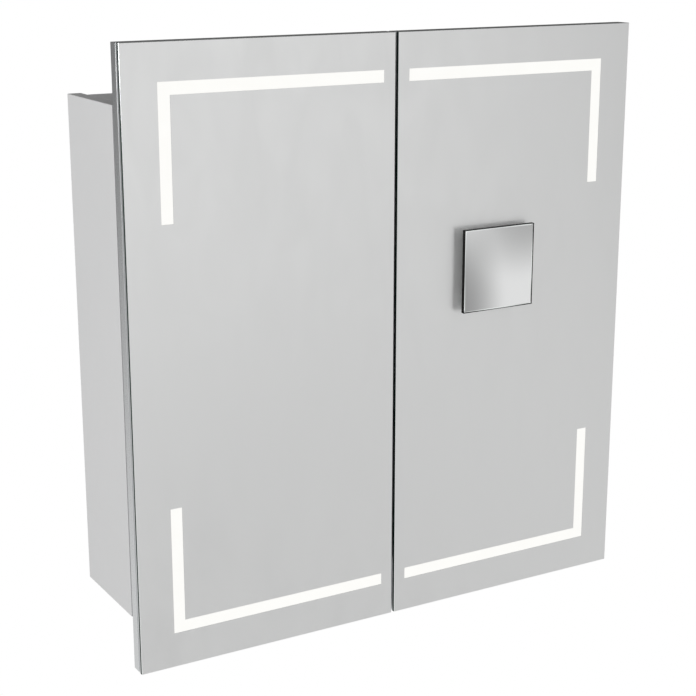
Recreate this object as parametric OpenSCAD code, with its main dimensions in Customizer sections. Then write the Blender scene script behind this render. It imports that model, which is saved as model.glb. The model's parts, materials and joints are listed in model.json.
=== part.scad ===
// Wall-hung bathroom cabinet with two lit mirror doors and a pull-off magnifying mirror.
// Millimetres, +Z up. The origin is on the wall plane, midway between the sides of the cabinet
// and midway between the top and the bottom of the doors. The front faces -Y.

/* [Cabinet] */
// Overall width over both doors
total_w = 663; // [560:1:900]
// Depth from the face of the mirror to the wall
total_d = 154; // [140:1:200]
// Height of the cabinet box behind the doors
body_h = 574; // [520:1:600]
// How far the middle of the box hangs below the middle of the doors
body_drop = 1.5; // [0:0.5:10]
// Thickness of the box panels
panel_t = 16; // [15:0.5:19]
// Thickness of the back panel
back_t = 8; // [6:0.5:12]
// Depth of the recess behind the back panel, for the rails and the wiring
recess_d = 20; // [16:1:30]

/* [Doors] */
// Height of each door
door_h = 700; // [660:1:900]
// Gap between the two doors
seam = 4; // [2:0.5:5]
// Gap between a door and the front edge of the box
door_gap = 3; // [3:0.5:4]
// Thickness of the mirror glass
glass_t = 4; // [3:0.5:5]
// Thickness of the door board
board_t = 13; // [13:0.5:16]
// Depth of the shadow groove in the edge profile
groove_t = 2.1; // [1.5:0.1:3]
// Height of the lip of the edge profile behind the glass
lip_t = 2.4; // [2:0.1:3]

/* [Light] */
// Distance of each light line from the edges of its door
light_inset = 41; // [36:1:60]
// Width of a light line
light_w = 14; // [10:1:18]
// Distance from the end of a door to the end of the upright arm of its light line
light_reach = 190.5; // [120:0.5:190.5]
// Distance from the seam edge of a door to the end of the level arm
light_stop = 14.5; // [14:0.5:60]

/* [Magnifying mirror] */
// Side of the square magnifying mirror
mag_s = 100; // [80:1:140]
// Its middle, to the right of the middle of the cabinet
mag_x = 138.5; // [100:0.5:230]
// Its middle, above the middle of the doors
mag_z = 69; // [-200:1:200]
// How far its face stands in front of the door
mag_out = 12; // [11:0.5:20]

/* [Inside] */
// Height of each glass shelf above and below the middle of the doors
shelf_z = 75; // [60:1:85]
// Thickness of a glass shelf
shelf_t = 5; // [4:0.5:8]
// Depth of a glass shelf
shelf_d = 88; // [70:1:90]
// Height of each hinge above and below the middle of the doors
hinge_z = 125; // [122:1:130]

/* [Hidden] */
$fn = 48;

eps = 0.1;                                  // overshoot of a cut past the face it opens
door_w = (total_w - seam) / 2;
door_t = board_t + groove_t + lip_t + glass_t;
door_back = -total_d + door_t;              // Y of the back face of a closed door
body_front = door_back + door_gap;          // Y of the front edge of the box
body_back = -recess_d;                      // Y of the rear face of the back panel
body_z = -body_drop;                        // middle of the box
body_top = body_z + body_h / 2;
inner_w = total_w - 2 * panel_t;
inner_h = body_h - 2 * panel_t;
box_d = body_back - body_front;             // depth of the top, bottom and inside
ends = [-1, 1];                             // below and above, or front and rear

// Hinge: places in the plan of one door, from its outer rear corner, inwards and to the wall
arm_pivot = [28, 7];                        // pivot at the tip of the arm
cup_pivot = [10.4, -3.8];                   // pivot in the cup
link_knee = [16, -6];                       // bend that lets the link pass the door's edge
pin_r = 1.5;
pin_play = 0.05;                            // radial running clearance of the links
link_w = 10;                                // width of a link, up the cabinet
link_t = 2.6;                               // thickness of a link
cheek_t = 2;                                // thickness of each cheek of an arm
cheek_z = link_w / 2 + 0.3;                 // inner face of a cheek from the hinge's middle
arm_end = 62;                               // rear end of an arm
cup_u = 22.5;                               // middle of the cup from the door's outer edge
cup_r = 17.5;
cup_depth = 11.6;
cup_wall = 1.1;
cup_pin_half = sqrt(pow(cup_r - 0.3, 2) - pow(cup_u - cup_pivot[0] + pin_r, 2));
plate_t = 2.5;                              // wing of a mounting plate
plate_block = 3.4;                          // block of a mounting plate, under the arm
plate_line = 37;                            // screw line from the front edge of the box
plate_screw_z = 16;
cup_screw_z = 24;
screw_r = 1.75;

// Edge profile of a door
skin_t = 1.6;                               // wall round the edge of the board
groove_in = 1.2;                            // how far the groove is set back
flange_w = 12;                              // flange under the glass
mitre = 20;

// Lamp channels behind the light lines
channel_wall = 1;
channel_base = board_t - 10;                // outer face of a channel's floor, from the door's back
lamp_step = 22;                             // distance between lamps

// Shelves, dowels and wall screws
shelf_pin_r = 2.5;
shelf_front = body_front + 11;
shelf_pin_y = [shelf_front + 16, shelf_front + shelf_d - 16];
shelf_pin_in = 9;                           // depth of a pin in the panel, and its reach out of it
dowel_y = [body_front + 22, body_back - 22];
dowel_r = 4;
dowel_l = 30;
dowel_in_side = 11.5;
wall_screw_x = 250;
wall_screw_z = 225;
wall_screw_r = 3;
rail_h = 50;

// Lamp driver, on top of the box behind the doors
driver = [170, 42, 21];
driver_at = [-20, body_front + 45, body_top];
driver_wall = 2;
grommet_at = [110, body_back - 22, body_top - panel_t / 2];
sensor = [46, 18, 9];
sensor_at = [0, body_front + 18, body_z - body_h / 2];

// Magnifying mirror, from the face of the door outwards
pad_t = 1.5;
pad_r = 24;
mag_air = 0.3;                              // gap between the pad and the base
mag_plate_t = 5;
mag_rim = 0.6;                               // black rim round the face of the mirror
mag_glass_t = 3;
base_t = mag_out - pad_t - mag_air - mag_plate_t;
mag_back = -pad_t - mag_air - base_t;       // rear face of the plate, from the door
magnet_r = 5;
magnet_t = 2.5;
magnet_ring = 14;

// Colours
lacquer = "gainsboro";
metal = "silver";
steel = "gray";

// ---- Places ---------------------------------------------------------------------------

// A door or its hinges are drawn with X from the door's outer edge towards the seam.
module on_left() { translate([-total_w / 2, 0, 0]) children(); }
module on_right() { mirror([1, 0, 0]) on_left() children(); }

// Hinge plan: X inwards, Y from the door's back face to the wall, for both hinges of a door.
module hinge_plan() {
    for (s = ends) translate([0, door_back, s * hinge_z]) children();
}

// A flat outline in X and Z, drawn from depth a to depth b behind or before the door's back.
module slab(a, b) {
    translate([0, door_back - a, 0]) rotate([90, 0, 0]) linear_extrude(b - a) children();
}

module along_y(r, y0, y1) {
    translate([0, y0, 0]) rotate([-90, 0, 0]) cylinder(r = r, h = y1 - y0);
}

// A round bar along X from x0 to x1
module along_x(r, x0, x1) {
    translate([x0, 0, 0]) rotate([0, 90, 0]) cylinder(r = r, h = x1 - x0);
}

// ---- Box ------------------------------------------------------------------------------

module dowel_sites() {
    for (s = ends, y = dowel_y)
        translate([0, y, body_z + s * (body_h - panel_t) / 2]) children();
}

module shelf_pin_sites() {
    for (s = ends, y = shelf_pin_y)
        translate([panel_t, y, s * shelf_z - shelf_t / 2 - shelf_pin_r]) children();
}

// X from the outer face of the panel inwards
module side_panel() {
    difference() {
        translate([0, body_front, body_z - body_h / 2]) cube([panel_t, -body_front, body_h]);
        dowel_sites() along_x(dowel_r, panel_t - dowel_in_side, panel_t + eps);
        shelf_pin_sites() along_x(shelf_pin_r, -shelf_pin_in, eps);
        hinge_plan() for (s = ends)
            translate([panel_t, door_gap + plate_line, s * plate_screw_z])
                along_x(screw_r, -12, eps);
    }
}

module level_panel(s) {
    difference() {
        translate([-inner_w / 2, body_front, body_z + s * (body_h - panel_t) / 2 - panel_t / 2])
            cube([inner_w, box_d, panel_t]);
        for (m = [0, 1]) mirror([m, 0, 0]) on_left()
            dowel_sites() along_x(dowel_r, panel_t - eps, panel_t - dowel_in_side + dowel_l);
        if (s > 0) translate(grommet_at) cylinder(r = 8, h = panel_t + 1, center = true);
    }
}

module wall_screw_sites() {
    for (x = [-wall_screw_x, wall_screw_x], z = [-wall_screw_z, wall_screw_z])
        translate([x, 0, z]) children();
}

module side_panel_left() { color(lacquer) on_left() side_panel(); }
module side_panel_right() { color(lacquer) on_right() side_panel(); }
module top_panel() { color(lacquer) level_panel(1); }
module bottom_panel() { color(lacquer) level_panel(-1); }

module back_panel() {
    color(lacquer) difference() {
        translate([-inner_w / 2, body_back - back_t, body_z - inner_h / 2])
            cube([inner_w, back_t, inner_h]);
        wall_screw_sites() along_y(wall_screw_r, body_back - back_t - eps, body_back + eps);
    }
}

module wall_rail(s) {
    difference() {
        translate([-inner_w / 2, body_back, s * wall_screw_z - rail_h / 2])
            cube([inner_w, recess_d, rail_h]);
        wall_screw_sites() along_y(wall_screw_r, body_back - eps, eps);
    }
}

module upper_wall_rail() { color("burlywood") wall_rail(1); }
module lower_wall_rail() { color("burlywood") wall_rail(-1); }

module joint_dowels() {
    color("burlywood") for (m = [0, 1]) mirror([m, 0, 0]) on_left()
        dowel_sites() along_x(dowel_r, panel_t - dowel_in_side, panel_t - dowel_in_side + dowel_l);
}

// ---- Shelves --------------------------------------------------------------------------

module shelf(s) {
    translate([-inner_w / 2 + 1, shelf_front, s * shelf_z - shelf_t / 2])
        cube([inner_w - 2, shelf_d, shelf_t]);
}

module shelf_upper() { color("lightcyan", 0.5) shelf(1); }
module shelf_lower() { color("lightcyan", 0.5) shelf(-1); }

module shelf_pins() {
    color(metal) for (m = [0, 1]) mirror([m, 0, 0]) on_left()
        shelf_pin_sites() along_x(shelf_pin_r, -shelf_pin_in, shelf_pin_in);
}

// ---- Hinges ---------------------------------------------------------------------------

// A straight strip of width w between two points, with no rounded ends
module strip(p, q, w) {
    run = q - p;
    translate(p) rotate(atan2(run[1], run[0])) translate([0, -w / 2])
        square([norm(run), w]);
}

module spot(p, r) { translate(p) circle(r = r); }

// Mounting plate on the inner face of the side panel
module hinge_plate() {
    line = door_gap + plate_line;
    difference() {
        union() {
            translate([panel_t, line - 20, -8]) cube([plate_t, 40, 16]);
            translate([panel_t, line - 6, -plate_screw_z - 6])
                cube([plate_t, 12, 2 * plate_screw_z + 12]);
            translate([panel_t + plate_t, line - 18, -cheek_z - 1])
                cube([plate_block, 36, 2 * cheek_z + 2]);
        }
        for (s = ends) translate([panel_t - 1, line, s * plate_screw_z])
            rotate([0, 90, 0]) cylinder(r = screw_r, h = plate_t + 2);
        translate([panel_t, line + 8, 0]) along_x(screw_r, -1, 9);
    }
}

module hinge_plates_left() { color(metal) on_left() hinge_plan() hinge_plate(); }
module hinge_plates_right() { color(metal) on_right() hinge_plan() hinge_plate(); }

// Arm: two cheeks that hold the link's pin, joined by a web over the mounting plate
module hinge_arm() {
    foot = panel_t + plate_t + plate_block + 0.2;
    top = arm_pivot[0] + 3.3;
    web_t = 1.7;
    for (s = ends) translate([0, 0, s * (cheek_z + cheek_t / 2)])
        linear_extrude(cheek_t, center = true) difference() {
            union() {
                spot(arm_pivot, 3.3);
                polygon([[arm_pivot[0] - 3.3, arm_pivot[1]], [top, arm_pivot[1]],
                    [top, arm_end], [foot, arm_end], [foot, arm_pivot[1] + 9]]);
            }
            spot(arm_pivot, pin_r);
        }
    difference() {
        translate([top - web_t, arm_pivot[1] + 8, -cheek_z])
            cube([web_t, arm_end - arm_pivot[1] - 8, 2 * cheek_z]);
        translate([0, door_gap + plate_line + 8, 0]) along_x(screw_r + 0.4, top - 5, top + 1);
    }
}

module hinge_arms_left() { color(metal) on_left() hinge_plan() hinge_arm(); }
module hinge_arms_right() { color(metal) on_right() hinge_plan() hinge_arm(); }

module arm_pins() {
    half = cheek_z + cheek_t;
    color(steel) for (m = [0, 1]) mirror([m, 0, 0]) on_left() hinge_plan()
        translate(arm_pivot) cylinder(r = pin_r, h = 2 * half, center = true);
}

// Two wood screws hold each plate to the side panel, and one holds the arm to the plate
module plate_screws() {
    line = door_gap + plate_line;
    top = arm_pivot[0] + 3.3;
    color(steel) for (m = [0, 1]) mirror([m, 0, 0]) on_left() hinge_plan() {
        for (s = ends) translate([panel_t + plate_t, line, s * plate_screw_z]) {
            along_x(screw_r, -plate_t - 11, 0.2);
            along_x(3.2, 0, 1.8);
        }
        translate([panel_t + plate_t + plate_block, line + 8, 0]) {
            along_x(screw_r, -plate_block - 1, top - panel_t - plate_t - plate_block + 0.2);
            translate([top - panel_t - plate_t - plate_block, 0, 0]) along_x(3.2, 0, 1.6);
        }
    }
}

module hinge_link() {
    linear_extrude(link_w, center = true) difference() {
        union() {
            strip(cup_pivot, link_knee, link_t);
            strip(link_knee, arm_pivot, link_t);
            spot(link_knee, link_t / 2);
            spot(cup_pivot, 2.9);
            spot(arm_pivot, 3.3);
        }
        spot(cup_pivot, pin_r + pin_play);
        spot(arm_pivot, pin_r + pin_play);
    }
}

module hinge_links_left() { color(steel) on_left() hinge_plan() hinge_link(); }
module hinge_links_right() { color(steel) on_right() hinge_plan() hinge_link(); }

// Cup, open to the back of the door, with two ears for its screws
module hinge_cup() {
    ear_t = 1;
    ear_w = 13;
    difference() {
        union() {
            translate([cup_u, 0, 0]) along_y(cup_r, -cup_depth, 0);
            for (s = ends) translate([cup_u - ear_w / 2, 0, s * (cup_screw_z - 1) - 6])
                cube([ear_w, ear_t, 12]);
            translate([cup_u - 2, 0, 0]) intersection() {
                translate([2, 0, 0]) along_y(cup_r + 2, 0, ear_t);
                translate([0, -1, -cup_r - 2]) cube([cup_r + 4, 3, 2 * cup_r + 4]);
            }
        }
        translate([cup_u, 0, 0]) along_y(cup_r - cup_wall, -cup_depth + 1, ear_t + eps);
        translate(cup_pivot) cylinder(r = pin_r, h = 2 * cup_r, center = true);
        for (s = ends) translate([cup_u, 0, s * cup_screw_z]) along_y(screw_r, -1, 3);
    }
}

module cup_pin() {
    translate(cup_pivot) cylinder(r = pin_r, h = 2 * cup_pin_half, center = true);
}

module cup_screws() {
    for (s = ends) translate([cup_u, 0, s * cup_screw_z]) {
        along_y(screw_r, -10, 1.2);
        along_y(3.2, 1, 2.2);
    }
}

// ---- Doors ----------------------------------------------------------------------------

// The L of a light line, for the upper half or the lower half of a door, grown by g all round
module light_line(g, s) {
    out = door_h / 2 - light_inset;
    in = out - light_w;
    tip_u = door_w - light_stop;
    tip_z = door_h / 2 - light_reach;
    u = light_inset;
    scale_z = s > 0 ? 0 : 1;
    mirror([0, scale_z]) polygon([
        [u - g, out + g], [tip_u + g, out + g], [tip_u + g, in - g],
        [u + light_w + g, in - g], [u + light_w + g, tip_z - g], [u - g, tip_z - g]]);
}

module light_lines(g) { for (s = ends) light_line(g, s); }

// The door's outline in X and Z, set in by d
module door_outline(d) {
    translate([d, -door_h / 2 + d]) square([door_w - 2 * d, door_h - 2 * d]);
}

module mirror_glass() {
    slab(door_t - glass_t, door_t) difference() {
        door_outline(0);
        light_lines(0);
    }
}

// Frosted windows, flush with the glass, with a foot behind it
module light_windows() {
    slab(door_t - glass_t, door_t) light_lines(-0.05);
    slab(door_t - glass_t - 1.6, door_t - glass_t) light_lines(0.35);
}

module light_channels() {
    difference() {
        slab(channel_base, door_t - glass_t) light_lines(0.4 + channel_wall);
        slab(channel_base + channel_wall, door_t) light_lines(0.4);
    }
}

// Circuit strip in the floor of each channel, with lamps along both arms
module light_strips() {
    base = channel_base + channel_wall;
    mid = light_inset + light_w / 2;
    slab(base, base + 1) light_lines(-2);
    for (s = ends) slab(base + 1, base + 2.2) {
        for (u = [mid : lamp_step : door_w - light_stop - 6])
            translate([u, s * (door_h / 2 - mid)]) square(4, center = true);
        for (z = [mid + lamp_step : lamp_step : light_reach - 6])
            translate([mid, s * (door_h / 2 - z)]) square(4, center = true);
    }
}

module backing_sheet() {
    slab(board_t, door_t - glass_t) difference() {
        door_outline(flange_w);
        light_lines(0.4 + channel_wall);
    }
}

module door_board() {
    difference() {
        slab(0, board_t) door_outline(skin_t);
        slab(channel_base, board_t + eps) light_lines(0.4 + channel_wall);
        hinge_plan() {
            translate([cup_u, 0, 0]) along_y(cup_r, -cup_depth, eps);
            for (s = ends) translate([cup_u, 0, s * cup_screw_z]) along_y(screw_r, -10, eps);
        }
    }
}

// Edge profile, as a ring round the door: skin, shadow groove, lip and flange
module edge_ring() {
    slab(0, board_t) difference() { door_outline(0); door_outline(skin_t); }
    slab(board_t, board_t + groove_t) difference() {
        door_outline(groove_in);
        door_outline(flange_w);
    }
    slab(board_t + groove_t, door_t - glass_t) difference() {
        door_outline(0);
        door_outline(flange_w);
    }
}

// The ring is mitred into two uprights and two level profiles
module upright_part(at_seam) {
    u = at_seam ? door_w : 0;
    k = at_seam ? -1 : 1;
    intersection() {
        edge_ring();
        slab(-1, door_t) polygon([[u, -door_h / 2], [u + k * mitre, -door_h / 2 + mitre],
            [u + k * mitre, door_h / 2 - mitre], [u, door_h / 2]]);
    }
}

module level_part(s) {
    intersection() {
        edge_ring();
        slab(-1, door_t) polygon([[0, s * door_h / 2], [mitre, s * (door_h / 2 - mitre)],
            [door_w - mitre, s * (door_h / 2 - mitre)], [door_w, s * door_h / 2]]);
    }
}

// Soft buffers near the seam, that close on the top and bottom panels
module door_buffers() {
    for (s = ends) translate([door_w - 22, 0, body_z + s * (body_h - panel_t) / 2])
        along_y(4, door_back, door_back + door_gap - 0.3);
}

module mirror_glass_left() { color("lightsteelblue") on_left() mirror_glass(); }
module mirror_glass_right() { color("lightsteelblue") on_right() mirror_glass(); }
module light_windows_left() { color("ivory") on_left() light_windows(); }
module light_windows_right() { color("ivory") on_right() light_windows(); }
module light_channels_left() { color(metal) on_left() light_channels(); }
module light_channels_right() { color(metal) on_right() light_channels(); }
module light_strips_left() { color("lightyellow") on_left() light_strips(); }
module light_strips_right() { color("lightyellow") on_right() light_strips(); }
module backing_sheet_left() { color("white") on_left() backing_sheet(); }
module backing_sheet_right() { color("white") on_right() backing_sheet(); }
module door_board_left() { color(lacquer) on_left() door_board(); }
module door_board_right() { color(lacquer) on_right() door_board(); }
module edge_profile_outer_left() { color(metal) on_left() upright_part(false); }
module edge_profile_outer_right() { color(metal) on_right() upright_part(false); }
module edge_profile_seam_left() { color(metal) on_left() upright_part(true); }
module edge_profile_seam_right() { color(metal) on_right() upright_part(true); }
module edge_profile_top_left() { color(metal) on_left() level_part(1); }
module edge_profile_top_right() { color(metal) on_right() level_part(1); }
module edge_profile_bottom_left() { color(metal) on_left() level_part(-1); }
module edge_profile_bottom_right() { color(metal) on_right() level_part(-1); }
module hinge_cups_left() { color(metal) on_left() hinge_plan() hinge_cup(); }
module hinge_cups_right() { color(metal) on_right() hinge_plan() hinge_cup(); }
module cup_pins_left() { color(steel) on_left() hinge_plan() cup_pin(); }
module cup_pins_right() { color(steel) on_right() hinge_plan() cup_pin(); }
module cup_screws_left() { color(steel) on_left() hinge_plan() cup_screws(); }
module cup_screws_right() { color(steel) on_right() hinge_plan() cup_screws(); }
module door_buffers_left() { color("whitesmoke") on_left() door_buffers(); }
module door_buffers_right() { color("whitesmoke") on_right() door_buffers(); }

// ---- Lamp driver, cable inlet and switch ----------------------------------------------

module driver_case() {
    color("whitesmoke") translate(driver_at) difference() {
        translate([-driver[0] / 2, -driver[1] / 2, 0]) cube(driver);
        translate([-driver[0] / 2 + driver_wall, -driver[1] / 2 + driver_wall, driver_wall])
            cube([driver[0] - 2 * driver_wall, driver[1] - 2 * driver_wall, driver[2]]);
    }
}

module driver_lid() {
    lid_t = 2.5;
    color("whitesmoke") translate(driver_at) translate([0, 0, driver[2]]) {
        translate([-driver[0] / 2, -driver[1] / 2, 0]) cube([driver[0], driver[1], lid_t]);
        translate([-driver[0] / 2 + driver_wall + 0.2, -driver[1] / 2 + driver_wall + 0.2, -3])
            cube([driver[0] - 2 * driver_wall - 0.4, driver[1] - 2 * driver_wall - 0.4, 3.1]);
    }
}

module cable_grommet() {
    half = panel_t / 2;
    color("dimgray") translate(grommet_at) difference() {
        union() {
            cylinder(r = 8, h = panel_t, center = true);
            for (s = ends) translate([0, 0, s * (half + 1)])
                cylinder(r = 11, h = 2, center = true);
        }
        cylinder(r = 4.5, h = panel_t + 6, center = true);
    }
}

module sensor_case() {
    color("whitesmoke") translate(sensor_at) difference() {
        translate([-sensor[0] / 2, -sensor[1] / 2, -sensor[2]]) cube(sensor);
        translate([0, 0, -sensor[2] - eps]) cylinder(r = 6, h = 4);
    }
}

module sensor_window() {
    color("dimgray") translate(sensor_at) translate([0, 0, -sensor[2]])
        cylinder(r = 6, h = 4 - eps);
}

// ---- Magnifying mirror ----------------------------------------------------------------

module mag_place() { translate([mag_x, -total_d, mag_z]) children(); }

module square_plate(side, y0, y1) {
    translate([-side / 2, y0, -side / 2]) cube([side, y1 - y0, side]);
}

module magnet_sites() {
    for (a = [45 : 90 : 315])
        translate([magnet_ring * cos(a), 0, magnet_ring * sin(a)]) children();
}

module magnifier_steel_pad() { color(metal) mag_place() along_y(pad_r, -pad_t, 0); }

module magnifier_base() {
    color("lightgray") mag_place() difference() {
        along_y(pad_r, mag_back, mag_back + base_t);
        magnet_sites() along_y(magnet_r, mag_back + base_t - magnet_t, mag_back + base_t + eps);
    }
}

module magnifier_magnets() {
    color(steel) mag_place() magnet_sites()
        along_y(magnet_r, mag_back + base_t - magnet_t, mag_back + base_t);
}

module magnifier_frame() {
    color("black") mag_place() difference() {
        square_plate(mag_s, mag_back - mag_plate_t, mag_back);
        square_plate(mag_s - 2 * mag_rim, mag_back - mag_plate_t - eps,
            mag_back - mag_plate_t + mag_glass_t);
    }
}

module magnifier_mirror() {
    color("lightsteelblue") mag_place()
        square_plate(mag_s - 2 * mag_rim, mag_back - mag_plate_t,
            mag_back - mag_plate_t + mag_glass_t);
}

side_panel_left();
side_panel_right();
top_panel();
bottom_panel();
back_panel();
upper_wall_rail();
lower_wall_rail();
joint_dowels();
shelf_upper();
shelf_lower();
shelf_pins();
hinge_plates_left();
hinge_plates_right();
hinge_arms_left();
hinge_arms_right();
arm_pins();
plate_screws();
driver_case();
driver_lid();
cable_grommet();
sensor_case();
sensor_window();
hinge_links_left();
hinge_links_right();
mirror_glass_left();
light_windows_left();
light_channels_left();
light_strips_left();
backing_sheet_left();
door_board_left();
edge_profile_outer_left();
edge_profile_seam_left();
edge_profile_top_left();
edge_profile_bottom_left();
hinge_cups_left();
cup_pins_left();
cup_screws_left();
door_buffers_left();
mirror_glass_right();
light_windows_right();
light_channels_right();
light_strips_right();
backing_sheet_right();
door_board_right();
edge_profile_outer_right();
edge_profile_seam_right();
edge_profile_top_right();
edge_profile_bottom_right();
hinge_cups_right();
cup_pins_right();
cup_screws_right();
door_buffers_right();
magnifier_steel_pad();
magnifier_base();
magnifier_magnets();
magnifier_frame();
magnifier_mirror();
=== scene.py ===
"""Looks of the wall-hung mirror cabinet: two lit mirror doors and a pull-off magnifying mirror.

Metres, in the frame of the CAD model: X to the right, -Y out of the mirrors, +Z up, wall plane at Y = 0.
"""

import json
import math

import bmesh
import bpy
from mathutils import Matrix, Vector


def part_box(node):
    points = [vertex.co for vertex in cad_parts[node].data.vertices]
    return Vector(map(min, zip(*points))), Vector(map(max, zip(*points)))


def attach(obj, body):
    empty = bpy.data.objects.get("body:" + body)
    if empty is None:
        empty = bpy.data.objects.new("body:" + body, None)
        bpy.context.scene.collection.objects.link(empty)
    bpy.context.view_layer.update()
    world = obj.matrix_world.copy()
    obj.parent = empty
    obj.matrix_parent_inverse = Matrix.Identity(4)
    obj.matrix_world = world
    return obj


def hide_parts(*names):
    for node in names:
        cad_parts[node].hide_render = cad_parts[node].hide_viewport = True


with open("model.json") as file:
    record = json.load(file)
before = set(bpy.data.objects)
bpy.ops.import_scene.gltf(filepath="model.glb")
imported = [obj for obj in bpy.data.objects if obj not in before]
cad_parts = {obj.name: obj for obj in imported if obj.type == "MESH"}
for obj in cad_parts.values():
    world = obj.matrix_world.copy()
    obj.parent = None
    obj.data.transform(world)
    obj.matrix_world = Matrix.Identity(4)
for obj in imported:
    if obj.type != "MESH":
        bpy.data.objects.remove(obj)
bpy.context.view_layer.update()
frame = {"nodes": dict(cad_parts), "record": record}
scene = bpy.context.scene
MM = 0.001
SIDES = ("left", "right")
BODY_OF = {n: b for b, names in frame["record"]["behaviour"]["bodies"].items() for n in names}


# ---- Materials ----------------------------------------------------------------------------


class Paint:
    """A node material that starts as one Principled shader and gains detail from noise."""

    def __init__(self, name, colour, rough, **inputs):
        self.material = bpy.data.materials.new(name)
        self.material.use_nodes = True
        self.tree = self.material.node_tree
        self.shader = self.tree.nodes["Principled BSDF"]
        self.colour, self.rough = colour, rough
        self.shader.inputs["Base Color"].default_value = (*colour, 1)
        self.shader.inputs["Roughness"].default_value = rough
        for key, value in inputs.items():
            self.shader.inputs[key.replace("_", " ")].default_value = value
        self.height = None

    def add(self, kind, **settings):
        node = self.tree.nodes.new(kind)
        for key, value in settings.items():
            setattr(node, key, value)
        return node

    def noise(self, scale, stretch=(1, 1, 1), detail=3.0, distortion=0.0):
        """Noise in the row frame. scale is in features per metre."""
        place = self.add("ShaderNodeTexCoord")
        mapping = self.add("ShaderNodeMapping")
        mapping.inputs["Scale"].default_value = stretch
        texture = self.add("ShaderNodeTexNoise")
        texture.inputs["Scale"].default_value = scale
        texture.inputs["Detail"].default_value = detail
        texture.inputs["Distortion"].default_value = distortion
        self.tree.links.new(place.outputs["Object"], mapping.inputs["Vector"])
        self.tree.links.new(mapping.outputs["Vector"], texture.inputs["Vector"])
        return texture.outputs["Fac"]

    def ranged(self, value, low, high):
        """value, which is mostly from 0.3 to 0.7, spread from low to high."""
        node = self.add("ShaderNodeMapRange")
        for key, number in (("From Min", 0.3), ("From Max", 0.7), ("To Min", low), ("To Max", high)):
            node.inputs[key].default_value = number
        self.tree.links.new(value, node.inputs["Value"])
        return node.outputs["Result"]

    def tint(self, value, other):
        """The colour drifts from the paint's own to other along value."""
        mix = self.add("ShaderNodeMix", data_type="RGBA")
        mix.inputs["A"].default_value = (*self.colour, 1)
        mix.inputs["B"].default_value = (*other, 1)
        self.tree.links.new(self.ranged(value, 0, 1), mix.inputs["Factor"])
        self.tree.links.new(mix.outputs["Result"], self.shader.inputs["Base Color"])
        return self

    def gloss(self, value, spread):
        result = self.ranged(value, max(self.rough - spread, 0.0), self.rough + spread)
        self.tree.links.new(result, self.shader.inputs["Roughness"])
        return self

    def bump(self, value, depth, strength=1.0):
        """Bumps of that depth in metres, stacked on any that are there."""
        node = self.add("ShaderNodeBump")
        node.inputs["Strength"].default_value = strength
        node.inputs["Distance"].default_value = depth
        self.tree.links.new(value, node.inputs["Height"])
        if self.height:
            self.tree.links.new(self.height, node.inputs["Normal"])
        self.height = node.outputs["Normal"]
        self.tree.links.new(self.height, self.shader.inputs["Normal"])
        return self


def shade(colour, by):
    return tuple(min(c * by, 1.0) for c in colour)


def lacquer():
    """Satin lacquer on board: faint orange peel and a slow drift of gloss."""
    paint = Paint("satin_lacquer", (0.665, 0.667, 0.669), 0.5, Specular_IOR_Level=0.3)
    slow = paint.noise(9, detail=2)
    paint.tint(slow, shade(paint.colour, 0.985)).gloss(paint.noise(60), 0.05)
    return paint.bump(paint.noise(700, detail=2), 0.00002, 0.35).material


def shaded_edge_band():
    """Edge band of the boards, painted a shade darker than the lacquer as painted shade of the narrow
    gap behind the doors.
    """
    paint = Paint("shaded_edge_band", (0.56, 0.565, 0.57), 0.34)
    paint.tint(paint.noise(14), shade(paint.colour, 0.97)).gloss(paint.noise(90), 0.05)
    return paint.bump(paint.noise(500), 0.00002, 0.3).material


def aluminium(name, stretch):
    """Satin anodised extrusion, with fine die lines along its length."""
    paint = Paint(name, (0.80, 0.815, 0.82), 0.30, Metallic=1.0)
    lines = paint.noise(2600, stretch, detail=2)
    paint.tint(paint.noise(30, stretch), shade(paint.colour, 0.93)).gloss(lines, 0.07)
    return paint.bump(lines, 0.000012, 0.5).material


def silver_mirror(name, rough, colour=(0.81, 0.815, 0.812)):
    """Silver behind float glass: a soft body and a crisp glass surface, with faint wipe marks."""
    paint = Paint(name, colour, rough, Metallic=1.0, Coat_Weight=1.0, Coat_Roughness=0.02,
                  Coat_IOR=1.5)
    paint.tint(paint.noise(2.2, detail=1), shade(colour, 0.985))
    paint.gloss(paint.noise(26, (1, 1, 0.35), detail=4, distortion=1.2), rough * 0.12 + 0.004)
    return paint.bump(paint.noise(5, detail=1), 0.00004, 0.25).material


def polished_arris():
    """Narrow ground and polished corner of the glass, which catches the light."""
    paint = Paint("polished_arris", (0.86, 0.89, 0.88), 0.16, Metallic=1.0)
    lines = paint.noise(900, detail=3)
    return paint.gloss(lines, 0.05).bump(lines, 0.00001, 0.3).material


def glass_edge():
    """The cut edge of a silvered pane, deep bottle green, with faint grinding marks across it."""
    paint = Paint("glass_edge", (0.003, 0.012, 0.009), 0.3, Specular_IOR_Level=0.05)
    lines = paint.noise(1500, (1, 1, 0.2), detail=3)
    paint.tint(paint.noise(40), (0.006, 0.024, 0.019)).gloss(lines, 0.07)
    return paint.bump(lines, 0.00002, 0.4).material


def mirror_back():
    """Grey protective paint on the back of a mirror."""
    paint = Paint("mirror_back", (0.30, 0.31, 0.32), 0.6)
    paint.tint(paint.noise(80), (0.26, 0.27, 0.28)).gloss(paint.noise(200), 0.08)
    return paint.bump(paint.noise(900), 0.00002, 0.5).material


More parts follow.
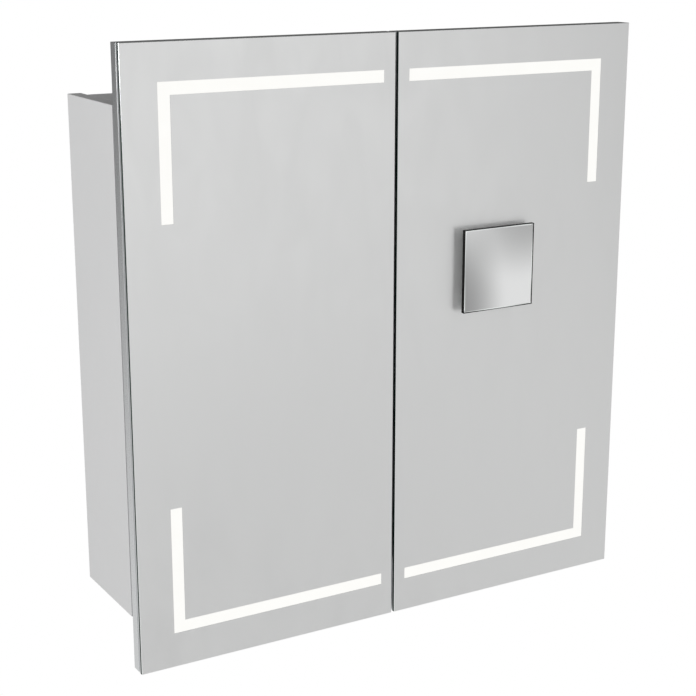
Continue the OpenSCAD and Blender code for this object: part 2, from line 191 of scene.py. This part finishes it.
def lit_window():
    """Frosted window lit from behind, even and very slightly warm."""
    paint = Paint("lit_window", (0.12, 0.12, 0.115), 0.6, Specular_IOR_Level=0.1)
    grain = paint.noise(2400, detail=2)
    glow = paint.add("ShaderNodeMix", data_type="RGBA")
    glow.inputs["A"].default_value = (0.88, 0.875, 0.850, 1)
    glow.inputs["B"].default_value = (0.895, 0.892, 0.870, 1)
    paint.tree.links.new(paint.ranged(paint.noise(45), 0, 1), glow.inputs["Factor"])
    paint.tree.links.new(glow.outputs["Result"], paint.shader.inputs["Emission Color"])
    paint.shader.inputs["Emission Strength"].default_value = 1.0
    return paint.gloss(grain, 0.08).bump(grain, 0.00002, 0.5).material


def lamp_yellow():
    paint = Paint("lamp_phosphor", (0.93, 0.74, 0.22), 0.35)
    paint.tint(paint.noise(900), (0.96, 0.80, 0.30))
    return paint.bump(paint.noise(1500), 0.00002, 0.4).material


def circuit_white():
    paint = Paint("circuit_white", (0.88, 0.88, 0.86), 0.4)
    paint.tint(paint.noise(300), (0.84, 0.84, 0.82)).gloss(paint.noise(800), 0.08)
    return paint.material


def plated(name, colour, rough, streak=(1, 1, 1)):
    """Plated steel pressing, with soft handling marks."""
    paint = Paint(name, colour, rough, Metallic=1.0)
    paint.tint(paint.noise(120), shade(colour, 0.88)).gloss(paint.noise(700, streak), 0.09)
    return paint.bump(paint.noise(1400, streak), 0.00001, 0.5).material


def moulded(name, colour, rough, grain=1800, specular=0.5):
    """Moulded plastic with the fine texture of its tool."""
    paint = Paint(name, colour, rough, Specular_IOR_Level=specular)
    paint.tint(paint.noise(60), shade(colour, 0.93)).gloss(paint.noise(grain / 2), 0.06)
    return paint.bump(paint.noise(grain, detail=2), 0.00003, 0.5).material


def beech():
    """Beech: long pale grain along X with short darker flecks."""
    paint = Paint("beech", (0.60, 0.42, 0.25), 0.5)
    grain = paint.noise(70, (0.05, 1, 1), detail=5, distortion=0.6)
    flecks = paint.noise(420, (0.12, 1, 1), detail=2)
    paint.tint(grain, (0.47, 0.30, 0.16)).gloss(flecks, 0.10)
    return paint.bump(flecks, 0.00006, 0.6).bump(grain, 0.0001, 0.3).material


def foamed():
    paint = Paint("foamed_sheet", (0.86, 0.86, 0.85), 0.85)
    cells = paint.noise(1100, detail=2)
    return paint.tint(cells, (0.78, 0.78, 0.77)).bump(cells, 0.0001, 0.8).material


def shelf_glass():
    """Clear float glass with a faint green cast."""
    paint = Paint("shelf_glass", (0.93, 0.975, 0.96), 0.0, Transmission_Weight=1.0, IOR=1.5)
    return paint.bump(paint.noise(6, detail=1), 0.00003, 0.2).material


def shelf_edge():
    """Polished edge of a shelf, where the glass looks green."""
    paint = Paint("shelf_edge", (0.42, 0.72, 0.62), 0.06, Transmission_Weight=0.55, IOR=1.5)
    return paint.tint(paint.noise(60), (0.34, 0.64, 0.54)).material


def soft_clear():
    paint = Paint("soft_clear", (0.86, 0.87, 0.87), 0.28, Transmission_Weight=0.6, IOR=1.45)
    return paint.gloss(paint.noise(1500), 0.08).material


LACQUER = lacquer()
# edge band: a real band, but its darker colour is painted shade of the gap behind the doors
SHADED_BAND = shaded_edge_band()
ALU_Z = aluminium("anodised_upright", (1, 1, 0.01))
ALU_X = aluminium("anodised_level", (0.01, 1, 1))
MIRROR = silver_mirror("silver_mirror", 0.40)
LENS = silver_mirror("magnifying_mirror", 0.10, (0.75, 0.755, 0.755))
ARRIS = polished_arris()
GLASS_EDGE = glass_edge()
MIRROR_BACK = mirror_back()
WINDOW = lit_window()
LAMP = lamp_yellow()
CIRCUIT = circuit_white()
NICKEL = plated("nickel_plate", (0.70, 0.68, 0.64), 0.24)
ZINC = plated("zinc_plate", (0.60, 0.62, 0.64), 0.34)
MAGNET = plated("magnet_nickel", (0.66, 0.66, 0.66), 0.16)
WHITE = moulded("white_moulding", (0.80, 0.80, 0.79), 0.45)
DARK = moulded("dark_moulding", (0.045, 0.047, 0.050), 0.38)
BLACK = moulded("black_moulding", (0.003, 0.003, 0.003), 0.5, specular=0.1)
GREY = moulded("pale_grey_moulding", (0.88, 0.88, 0.88), 0.5)
BEECH = beech()
FOAM = foamed()
SHELF = shelf_glass()
SHELF_EDGE = shelf_edge()
CLEAR = soft_clear()


# ---- Mesh tools ---------------------------------------------------------------------------


def cad_mesh(node):
    """The CAD node's mesh, welded, with its flat faces joined."""
    bm = bmesh.new()
    bm.from_mesh(frame["nodes"][node].data)
    bmesh.ops.remove_doubles(bm, verts=bm.verts, dist=2e-6)
    bmesh.ops.dissolve_limit(bm, angle_limit=math.radians(0.4), verts=bm.verts, edges=bm.edges)
    return bm


def sharp(edge, angle=math.radians(35)):
    return edge.is_manifold and edge.calc_face_angle(0) > angle


def soften(bm, width, pick=None, segments=2):
    """Rounds the sharp edges longer than eight widths that pick accepts."""
    edges = [e for e in bm.edges
             if sharp(e) and e.calc_length() > 8 * width and (pick is None or pick(e))]
    bmesh.ops.bevel(bm, geom=edges, offset=width, segments=segments, profile=0.5,
                    affect="EDGES", clamp_overlap=True)


def finish_mesh(name, bm, materials, flat_weighted=True):
    """Turns bm into an object, smooth across its rounded edges and flat on its large faces."""
    bmesh.ops.recalc_face_normals(bm, faces=bm.faces)
    for face in bm.faces:
        face.smooth = True
    for edge in bm.edges:
        edge.smooth = not sharp(edge)
    mesh = bpy.data.meshes.new(name)
    bm.to_mesh(mesh)
    bm.free()
    for material in materials:
        mesh.materials.append(material)
    piece = bpy.data.objects.new(name, mesh)
    scene.collection.objects.link(piece)
    if flat_weighted:
        piece.modifiers.new("flat_weighted", "WEIGHTED_NORMAL").keep_sharp = True
    return piece


def stands_for(piece, *nodes):
    """The piece rides on the nodes' body and replaces them."""
    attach(piece, BODY_OF[nodes[0]])
    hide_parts(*nodes)
    return piece


def trim(piece, body):
    """The piece is a detail that no CAD node stands for."""
    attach(piece, body)
    return piece


def dress(node, materials, width=0.5 * MM, paint_faces=None, segments=2):
    """The CAD node with rounded edges. paint_faces(face) picks a material's index."""
    bm = cad_mesh(node)
    soften(bm, width, segments=segments)
    bm.normal_update()
    if paint_faces:
        for face in bm.faces:
            face.material_index = paint_faces(face)
    return stands_for(finish_mesh(node + ".fine", bm, materials), node)


def turned(bm, profile, place, segments=40, material=0):
    """A lathe-turned solid into bm. profile holds (radius, height) from axis to axis."""
    rings = []
    for radius, height in profile:
        if radius < 1e-9:
            rings.append([bm.verts.new(place @ Vector((0, 0, height)))])
            continue
        turn = [2 * math.pi * i / segments for i in range(segments)]
        rings.append([bm.verts.new(place @ Vector((radius * math.cos(a), radius * math.sin(a),
                                                   height))) for a in turn])
    for low, high in zip(rings, rings[1:]):
        for i in range(segments):
            j = (i + 1) % segments
            corners = [low[i % len(low)], low[j % len(low)], high[j % len(high)],
                       high[i % len(high)]]
            distinct = list(dict.fromkeys(corners))
            if len(distinct) > 2:
                bm.faces.new(distinct).material_index = material


def add_block(bm, low, high):
    """A box into bm, from one corner to the other."""
    size = Vector(high) - Vector(low)
    place = Matrix.Translation((Vector(low) + Vector(high)) / 2) @ Matrix.Diagonal((*size, 1))
    bmesh.ops.create_cube(bm, size=1, matrix=place)


def rounded_rim(radius, height, round_r, steps=4):
    """Profile points from the side to the top of a disc, round its rim."""
    centre = (radius - round_r, height - round_r)
    return [(centre[0] + round_r * math.cos(a), centre[1] + round_r * math.sin(a))
            for a in (math.pi / 2 * k / steps for k in range(steps + 1))]


def aimed(at, axis):
    """Matrix that puts local +Z along axis at that place."""
    turn = Vector((0, 0, 1)).rotation_difference(Vector(axis)).to_matrix().to_4x4()
    return Matrix.Translation(at) @ turn


def middle(box):
    return (box[0] + box[1]) / 2


def islands(node):
    """Boxes of the separate solids of a CAD node, as (low, high), each in a stable order."""
    bm = cad_mesh(node)
    left, found = set(bm.verts), []
    while left:
        stack, group = [left.pop()], []
        while stack:
            vert = stack.pop()
            group.append(vert.co.copy())
            for edge in vert.link_edges:
                other = edge.other_vert(vert)
                if other in left:
                    left.remove(other)
                    stack.append(other)
        found.append((Vector(map(min, zip(*group))), Vector(map(max, zip(*group)))))
    bm.free()
    return sorted(found, key=lambda b: [round(c, 5) for c in (*b[0], *b[1])])


# ---- Box of the cabinet -------------------------------------------------------------------


def shaded_band_faces(axis, sign):
    """Picks the edge band, painted darker as shade of the door gap, for faces that look along axis, and
    the lacquer for the rest.
    """
    def index(face):
        return 1 if face.normal[axis] * sign > 0.9 else 0
    return index


def make_box():
    for side in SIDES:
        # front faces of the boards get the edge band, painted darker as shade of the door gap
        dress("side_panel_" + side, [LACQUER, SHADED_BAND], 0.7 * MM, shaded_band_faces(1, -1), 3)
    for node in ("top_panel", "bottom_panel"):
        dress(node, [LACQUER, SHADED_BAND], 0.6 * MM, shaded_band_faces(1, -1))
    dress("back_panel", [LACQUER], 0.4 * MM)
    for node in ("upper_wall_rail", "lower_wall_rail"):
        dress(node, [BEECH], 0.8 * MM)
    dress("joint_dowels", [BEECH], 0.4 * MM)


def make_shelves():
    for node in ("shelf_upper", "shelf_lower"):
        dress(node, [SHELF, SHELF_EDGE], 1.1 * MM,
              lambda face: 0 if abs(face.normal.z) > 0.98 else 1, 3)
    bm = bmesh.new()
    for low, high in islands("shelf_pins"):
        inward = 1 if low.x < 0 else -1
        at = Vector((low.x if inward > 0 else high.x, middle((low, high)).y,
                     middle((low, high)).z))
        radius, length = (high.z - low.z) / 2, high.x - low.x
        profile = [(0, 0), (radius, 0), *rounded_rim(radius, length, 0.7 * MM), (0, length)]
        turned(bm, profile, aimed(at, (inward, 0, 0)), 28)
    stands_for(finish_mesh("shelf_pins.fine", bm, [NICKEL]), "shelf_pins")


# ---- Screws and hinges --------------------------------------------------------------------


def cross_recess(x, y, arm, reach):
    """1 inside a cross-shaped recess, falling to 0 at its edge."""
    def inside(across, along):
        across, along = abs(across), abs(along)
        return max(0.0, min(1.0, (arm - across) / (0.35 * arm) + 0.5)) * max(
            0.0, min(1.0, (reach - along) / (0.2 * reach)))
    return max(inside(x, y), inside(y, x))


def screw_head(bm, at, axis, radius, height, material=0):
    """Domed head with a cross recess, as a disc of rings and spokes."""
    place, rings, spokes = aimed(at, axis), 14, 48
    centre = bm.verts.new(place @ Vector((0, 0, height * 0.45)))
    last = [centre] * spokes
    for k in range(1, rings + 1):
        r = radius * k / rings
        ring = []
        for i in range(spokes):
            a = 2 * math.pi * i / spokes
            x, y = r * math.cos(a), r * math.sin(a)
            dome = height * math.sqrt(max(0.0, 1 - 0.75 * (r / radius) ** 2))
            cut = 0.55 * height * cross_recess(x, y, 0.17 * radius, 0.66 * radius)
            ring.append(bm.verts.new(place @ Vector((x, y, dome - cut))))
        for i in range(spokes):
            j = (i + 1) % spokes
            corners = list(dict.fromkeys([last[i], ring[i], ring[j], last[j]]))
            bm.faces.new(corners).material_index = material
        last = ring
    foot = [bm.verts.new(place @ Vector((radius * math.cos(2 * math.pi * i / spokes),
                                         radius * math.sin(2 * math.pi * i / spokes), 0)))
            for i in range(spokes)]
    for i in range(spokes):
        j = (i + 1) % spokes
        bm.faces.new([last[i], foot[i], foot[j], last[j]]).material_index = material
    bm.faces.new(foot[::-1]).material_index = material


def make_screws(node):
    """Each solid of the node is one screw along its longest side, with its head to the room."""
    bm = bmesh.new()
    for low, high in islands(node):
        size, mid = high - low, middle((low, high))
        axis = max(range(3), key=lambda k: size[k])
        across = [k for k in range(3) if k != axis]
        head_r = max(size[k] for k in across) / 2
        out = Vector((0, 0, 0))
        out[axis] = 1 if axis == 1 or mid.x < 0 else -1
        tip, top = mid.copy(), mid.copy()
        tip[axis] = low[axis] if out[axis] > 0 else high[axis]
        top[axis] = high[axis] if out[axis] > 0 else low[axis]
        head_h = 1.2 * MM
        shank_r = 1.7 * MM
        length = size[axis] - head_h
        turned(bm, [(0, 0), (shank_r, 0), (shank_r, length), (0, length)], aimed(tip, out), 20)
        screw_head(bm, top - out * head_h, out, head_r, head_h)
    stands_for(finish_mesh(node + ".fine", bm, [ZINC]), node)


def make_pins(node):
    bm = bmesh.new()
    for low, high in islands(node):
        radius, length = (high.x - low.x) / 2, high.z - low.z
        foot = Vector((middle((low, high)).x, middle((low, high)).y, low.z))
        rim = rounded_rim(radius, length, 0.3 * MM)
        base = [(r, length - h) for r, h in reversed(rim)]
        turned(bm, [(0, 0), *base, *rim, (0, length)], aimed(foot, (0, 0, 1)), 24)
    stands_for(finish_mesh(node + ".fine", bm, [ZINC]), node)


def make_hinges():
    for side in SIDES:
        for part in ("hinge_plates_", "hinge_arms_", "hinge_cups_"):
            dress(part + side, [NICKEL], 0.3 * MM)
        dress("hinge_links_" + side, [ZINC], 0.25 * MM)
        make_screws("cup_screws_" + side)
        make_pins("cup_pins_" + side)
    make_pins("arm_pins")
    make_screws("plate_screws")


# ---- Doors --------------------------------------------------------------------------------


def make_glass(side):
    """Pane with a polished arris at the front, silvered face, green edge and painted back."""
    node = "mirror_glass_" + side
    low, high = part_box(node)
    bm = cad_mesh(node)

    def on_rim(edge, y):
        a, b = (v.co for v in edge.verts)
        flat = abs(a.y - y) < 1e-5 and abs(b.y - y) < 1e-5
        rim = any(abs(a[k] - w) < 1e-5 and abs(b[k] - w) < 1e-5
                  for k in (0, 2) for w in (low[k], high[k]))
        return flat and rim

    soften(bm, 0.35 * MM, lambda e: on_rim(e, low.y), 1)
    soften(bm, 0.1 * MM, lambda e: on_rim(e, high.y), 1)
    bm.normal_update()
    for face in bm.faces:
        if face.normal.y < -0.98:
            face.material_index = 0
        elif face.normal.y < -0.2:
            face.material_index = 1
        else:
            face.material_index = 3 if face.normal.y > 0.98 else 2
    materials = [MIRROR, ARRIS, GLASS_EDGE, MIRROR_BACK]
    stands_for(finish_mesh(node + ".fine", bm, materials), node)


def make_doors():
    for side in SIDES:
        make_glass(side)
        dress("light_windows_" + side, [WINDOW], 0.25 * MM)
        dress("light_channels_" + side, [ALU_X], 0.2 * MM)
        dress("backing_sheet_" + side, [FOAM], 0.4 * MM)
        dress("door_board_" + side, [LACQUER], 0.5 * MM)
        for part, metal in (("outer", ALU_Z), ("seam", ALU_Z), ("top", ALU_X), ("bottom", ALU_X)):
            dress("edge_profile_" + part + "_" + side, [metal], 0.3 * MM)
        make_lamps("light_strips_" + side)
        make_buffers("door_buffers_" + side)


def make_lamps(node):
    """Circuit strip with its lamps: the faces in front of the strip are the lamps."""
    lamp_t = 1.1 * MM
    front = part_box(node)[0].y + lamp_t
    dress(node, [CIRCUIT, LAMP], 0.15 * MM,
          lambda face: 1 if face.calc_center_median().y < front else 0)


def make_buffers(node):
    bm = bmesh.new()
    for low, high in islands(node):
        radius, height = (high.x - low.x) / 2, high.y - low.y
        at = Vector((middle((low, high)).x, low.y, middle((low, high)).z))
        profile = [(0, 0), (radius, 0), *rounded_rim(radius, height, 1.6 * MM, 6), (0, height)]
        turned(bm, profile, aimed(at, (0, 1, 0)), 32)
    stands_for(finish_mesh(node + ".fine", bm, [CLEAR]), node)


# ---- Lamp driver, cable inlet and switch --------------------------------------------------


def make_electrics():
    dress("driver_case", [WHITE], 1.4 * MM, segments=3)
    dress("driver_lid", [WHITE], 0.7 * MM, segments=3)
    low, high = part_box("driver_lid")
    mid = middle((low, high))
    ribs, rib_w, rib_pitch, margin = 9, 2 * MM, 6 * MM, 6 * MM
    screw_in, screw_r, screw_h = 7 * MM, 2.6 * MM, 0.8 * MM
    bm = bmesh.new()
    for k in range(ribs):
        x = mid.x + (k - (ribs - 1) / 2) * rib_pitch
        add_block(bm, (x - rib_w / 2, low.y + margin, high.z - 0.3 * MM),
                  (x + rib_w / 2, high.y - margin, high.z + 0.9 * MM))
    head = [(0, 0), (screw_r, 0), *rounded_rim(screw_r, screw_h, screw_h / 2), (0, screw_h)]
    for x in (low.x + screw_in, high.x - screw_in):
        turned(bm, head, Matrix.Translation((x, mid.y, high.z)), 24)
    soften(bm, 0.25 * MM)
    trim(finish_mesh("driver_ribs", bm, [WHITE]), "cabinet")
    low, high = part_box("driver_case")
    terminal_half, terminal_pitch = 3.4 * MM, 9 * MM
    bm = bmesh.new()
    for k in (-1, 0, 1):
        y = middle((low, high)).y + k * terminal_pitch
        add_block(bm, (high.x - 0.5 * MM, y - terminal_half, low.z + 2 * MM),
                  (high.x + 3.2 * MM, y + terminal_half, low.z + 12 * MM))
    soften(bm, 0.5 * MM)
    trim(finish_mesh("driver_terminals", bm, [DARK]), "cabinet")
    low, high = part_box("cable_grommet")
    mid, outer, height = middle((low, high)), (high.x - low.x) / 2, high.z - low.z
    neck, bore, lip = 8 * MM, 4.5 * MM, 2 * MM
    top = rounded_rim(outer, height, 0.9 * MM)
    profile = [(bore, 0.6 * MM), (bore + 0.6 * MM, 0), (outer - 0.6 * MM, 0), (outer, 0.6 * MM),
               (outer, lip), (neck, lip), (neck, height - lip), (outer, height - lip), *top,
               (bore + 0.6 * MM, height), (bore, height - 0.6 * MM), (bore, 0.6 * MM)]
    bm = bmesh.new()
    turned(bm, profile, Matrix.Translation((mid.x, mid.y, low.z)), 48)
    bmesh.ops.remove_doubles(bm, verts=bm.verts, dist=1e-7)
    stands_for(finish_mesh("cable_grommet.fine", bm, [DARK]), "cable_grommet")
    dress("sensor_case", [WHITE], 1.0 * MM, segments=3)
    low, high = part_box("sensor_window")
    radius, height = (high.x - low.x) / 2, high.z - low.z
    profile = [(0, 0), (radius, 0), *rounded_rim(radius, height, 1.2 * MM, 5), (0, height)]
    bm = bmesh.new()
    turned(bm, profile, aimed((middle((low, high)).x, middle((low, high)).y, high.z),
                              (0, 0, -1)), 40)
    stands_for(finish_mesh("sensor_window.fine", bm, [BLACK]), "sensor_window")


# ---- Magnifying mirror --------------------------------------------------------------------


def make_disc(node, material, rim, segments=56):
    """A round plate along Y, with a rounded rim at the front."""
    bm = bmesh.new()
    for low, high in islands(node):
        radius, height = (high.x - low.x) / 2, high.y - low.y
        at = Vector((middle((low, high)).x, high.y, middle((low, high)).z))
        profile = [(0, 0), (radius, 0), *rounded_rim(radius, height, rim), (0, height)]
        turned(bm, profile, aimed(at, (0, -1, 0)), segments)
    stands_for(finish_mesh(node + ".fine", bm, [material]), node)


def make_dished_mirror():
    """Square pane with a bevelled border and a spherical dish that magnifies."""
    node = "magnifier_mirror"
    low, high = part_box(node)
    mid, half = middle((low, high)), (high.x - low.x) / 2
    bevel, drop, radius, shown_radius, cells = 1.3 * MM, 0.7 * MM, 1.6, 0.33, 32
    inner = half - bevel
    sag_edge = inner * inner / radius
    bm = bmesh.new()

    def point(x, z):
        sag = sag_edge - (x * x + z * z) / (2 * radius)
        return bm.verts.new((mid.x + x, low.y + 0.1 * MM + sag, mid.z + z))

    steps = [-inner + 2 * inner * k / cells for k in range(cells + 1)]
    grid = [[point(x, z) for x in steps] for z in steps]
    for i in range(cells):
        for j in range(cells):
            bm.faces.new([grid[i][j], grid[i][j + 1], grid[i + 1][j + 1], grid[i + 1][j]])
    border = (grid[0] + [row[-1] for row in grid[1:]] + grid[-1][-2::-1]
              + [row[0] for row in grid[-2:0:-1]])

    def ring(reach, y):
        k = reach / inner
        return [bm.verts.new((mid.x + (v.co.x - mid.x) * k, y, mid.z + (v.co.z - mid.z) * k))
                for v in border]

    rims = [border, ring(half, low.y + drop), ring(half, high.y)]
    for index, (a, b) in enumerate(zip(rims, rims[1:]), 1):
        for i in range(len(a)):
            j = (i + 1) % len(a)
            bm.faces.new([a[i], a[j], b[j], b[i]]).material_index = index
    bm.faces.new(rims[-1]).material_index = 3
    materials = [LENS, ARRIS, GLASS_EDGE, MIRROR_BACK]
    piece = stands_for(finish_mesh(node + ".fine", bm, materials, False), node)
    mesh = piece.data
    normals = [Vector(c.vector) for c in mesh.corner_normals]
    for face in mesh.polygons:
        if face.material_index == 0:
            for loop in face.loop_indices:
                offset = mesh.vertices[mesh.loops[loop].vertex_index].co - mid
                tilt = Vector((-offset.x / shown_radius, -1, -offset.z / shown_radius))
                normals[loop] = tilt.normalized()
    mesh.normals_split_custom_set(normals)


def make_magnifier():
    make_dished_mirror()
    dress("magnifier_frame", [BLACK, GREY], 0.2 * MM,
          lambda face: 1 if face.normal.y > 0.9 else 0)
    make_disc("magnifier_base", GREY, 0.8 * MM)
    make_disc("magnifier_magnets", MAGNET, 0.3 * MM, 32)
    make_disc("magnifier_steel_pad", ZINC, 0.4 * MM)


# ---- Studio -------------------------------------------------------------------------------


def make_camera():
    """The camera of the photograph: seen from the left and a little from above."""
    tilt, turn = 15.21, 30.197
    camera = bpy.data.cameras.new("camera")
    camera.lens = 80.80
    camera.sensor_width = 36
    camera.clip_end = 100
    piece = bpy.data.objects.new("camera", camera)
    piece.location = (-0.9359, -1.6532, 0.4664)
    piece.rotation_euler = (math.radians(90 - tilt), 0, math.radians(-turn))
    scene.collection.objects.link(piece)
    scene.camera = piece


def direction(azimuth, elevation):
    """Unit vector, with azimuth in degrees from the front (-Y) towards +X."""
    a, e = math.radians(azimuth), math.radians(elevation)
    return Vector((math.sin(a) * math.cos(e), -math.cos(a) * math.cos(e), math.sin(e)))


def make_world():
    """White to the camera. The room is bright low down, soft in front and dim above.

    Two soft dark cards stand on each side, one beside the camera and one below it, so that the
    dished mirror has something to show.
    """
    world = bpy.data.worlds.new("studio")
    world.use_nodes = True
    scene.world = world
    tree = world.node_tree
    tree.nodes.clear()
    link = tree.links.new
    where = tree.nodes.new("ShaderNodeTexCoord").outputs["Generated"]

    def maths(operation, a, b=0):
        node = tree.nodes.new("ShaderNodeMath")
        node.operation = operation
        for socket, value in zip(node.inputs, (a, b)):
            if isinstance(value, (int, float)):
                socket.default_value = value
            else:
                link(value, socket)
        return node.outputs[0]

    def along(axis, start, end, way=where):
        """0 to 1 as the share along axis of the direction way goes from start to end."""
        dot = tree.nodes.new("ShaderNodeVectorMath")
        dot.operation = "DOT_PRODUCT"
        link(way, dot.inputs[0])
        dot.inputs[1].default_value = axis
        ramp = tree.nodes.new("ShaderNodeMapRange")
        ramp.interpolation_type = "SMOOTHSTEP"
        link(dot.outputs["Value"], ramp.inputs["Value"])
        ramp.inputs["From Min"].default_value = start
        ramp.inputs["From Max"].default_value = end
        return ramp.outputs["Result"]

    apart = tree.nodes.new("ShaderNodeSeparateXYZ")
    folded = tree.nodes.new("ShaderNodeCombineXYZ")
    link(where, apart.inputs[0])
    link(maths("ABSOLUTE", apart.outputs["X"]), folded.inputs["X"])
    for axis in ("Y", "Z"):
        link(apart.outputs[axis], folded.inputs[axis])

    def card(azimuth, elevation, radius):
        """A soft round card, and its mirror image on the other side."""
        return along(direction(azimuth, elevation), math.cos(math.radians(radius)), 1,
                     folded.outputs[0])

    low = along((0, 0, -1), 0.04, 0.46)
    front = along((0, -1, 0), -0.25, 0.55)
    high = along((0, 0, 1), 0.1, 0.9)
    upper = maths("ADD", 0.1, maths("MULTIPLY", front, 0.87))
    upper = maths("MULTIPLY", upper, maths("SUBTRACT", 1, maths("MULTIPLY", high, 0.5)))
    lower = maths("ADD", 0.7, maths("MULTIPLY", front, 0.3))
    left = along((-1, 0, 0), 0.0, 1.0)
    light = maths("ADD", maths("MULTIPLY", lower, low),
                  maths("MULTIPLY", upper, maths("SUBTRACT", 1, low)))
    beside = maths("MULTIPLY", card(60, 0, 30), 0.6)
    below = maths("MULTIPLY", card(24, -38, 32), 0.5)
    light = maths("SUBTRACT", light, maths("ADD", beside, below))
    light = maths("ADD", light, maths("MULTIPLY", left, 0.2))
    light = maths("MAXIMUM", light, 0.02)
    tint = tree.nodes.new("ShaderNodeCombineColor")
    for channel in tint.inputs:
        link(light, channel)
    room = tree.nodes.new("ShaderNodeBackground")
    link(tint.outputs[0], room.inputs["Color"])
    white = tree.nodes.new("ShaderNodeBackground")
    white.inputs["Color"].default_value = (1, 1, 1, 1)
    seen = tree.nodes.new("ShaderNodeLightPath").outputs["Is Camera Ray"]
    mix = tree.nodes.new("ShaderNodeMixShader")
    for socket, value in zip(mix.inputs, (seen, room.outputs[0], white.outputs[0])):
        link(value, socket)
    output = tree.nodes.new("ShaderNodeOutputWorld")
    link(mix.outputs[0], output.inputs[0])


def make_light(name, azimuth, elevation, distance, size, power):
    """Round area light that faces the middle of the cabinet."""
    light = bpy.data.lights.new(name, "AREA")
    light.shape = "DISK"
    light.size = size
    light.energy = power
    piece = bpy.data.objects.new(name, light)
    piece.location = direction(azimuth, elevation) * distance
    piece.rotation_euler = (-piece.location).to_track_quat("-Z", "Y").to_euler()
    scene.collection.objects.link(piece)


def make_floor():
    """Plain pale floor, at the height that a bathroom cabinet hangs above it."""
    radius, drop = 1.7, 1.5
    paint = Paint("pale_floor", (0.92, 0.92, 0.92), 0.8, Emission_Color=(1, 1, 1, 1),
                  Emission_Strength=0.35)
    paint.tint(paint.noise(3), (0.90, 0.90, 0.90))
    bm = bmesh.new()
    bmesh.ops.create_circle(bm, cap_ends=True, radius=radius, segments=96)
    floor = finish_mesh("floor", bm, [paint.material])
    floor.location.z = -drop


make_camera()
make_world()
make_light("key", -75, 14, 2.6, 1.3, 20)
make_floor()
make_box()
make_shelves()
make_hinges()
make_doors()
make_electrics()
make_magnifier()
scene.view_settings.view_transform = "Standard"
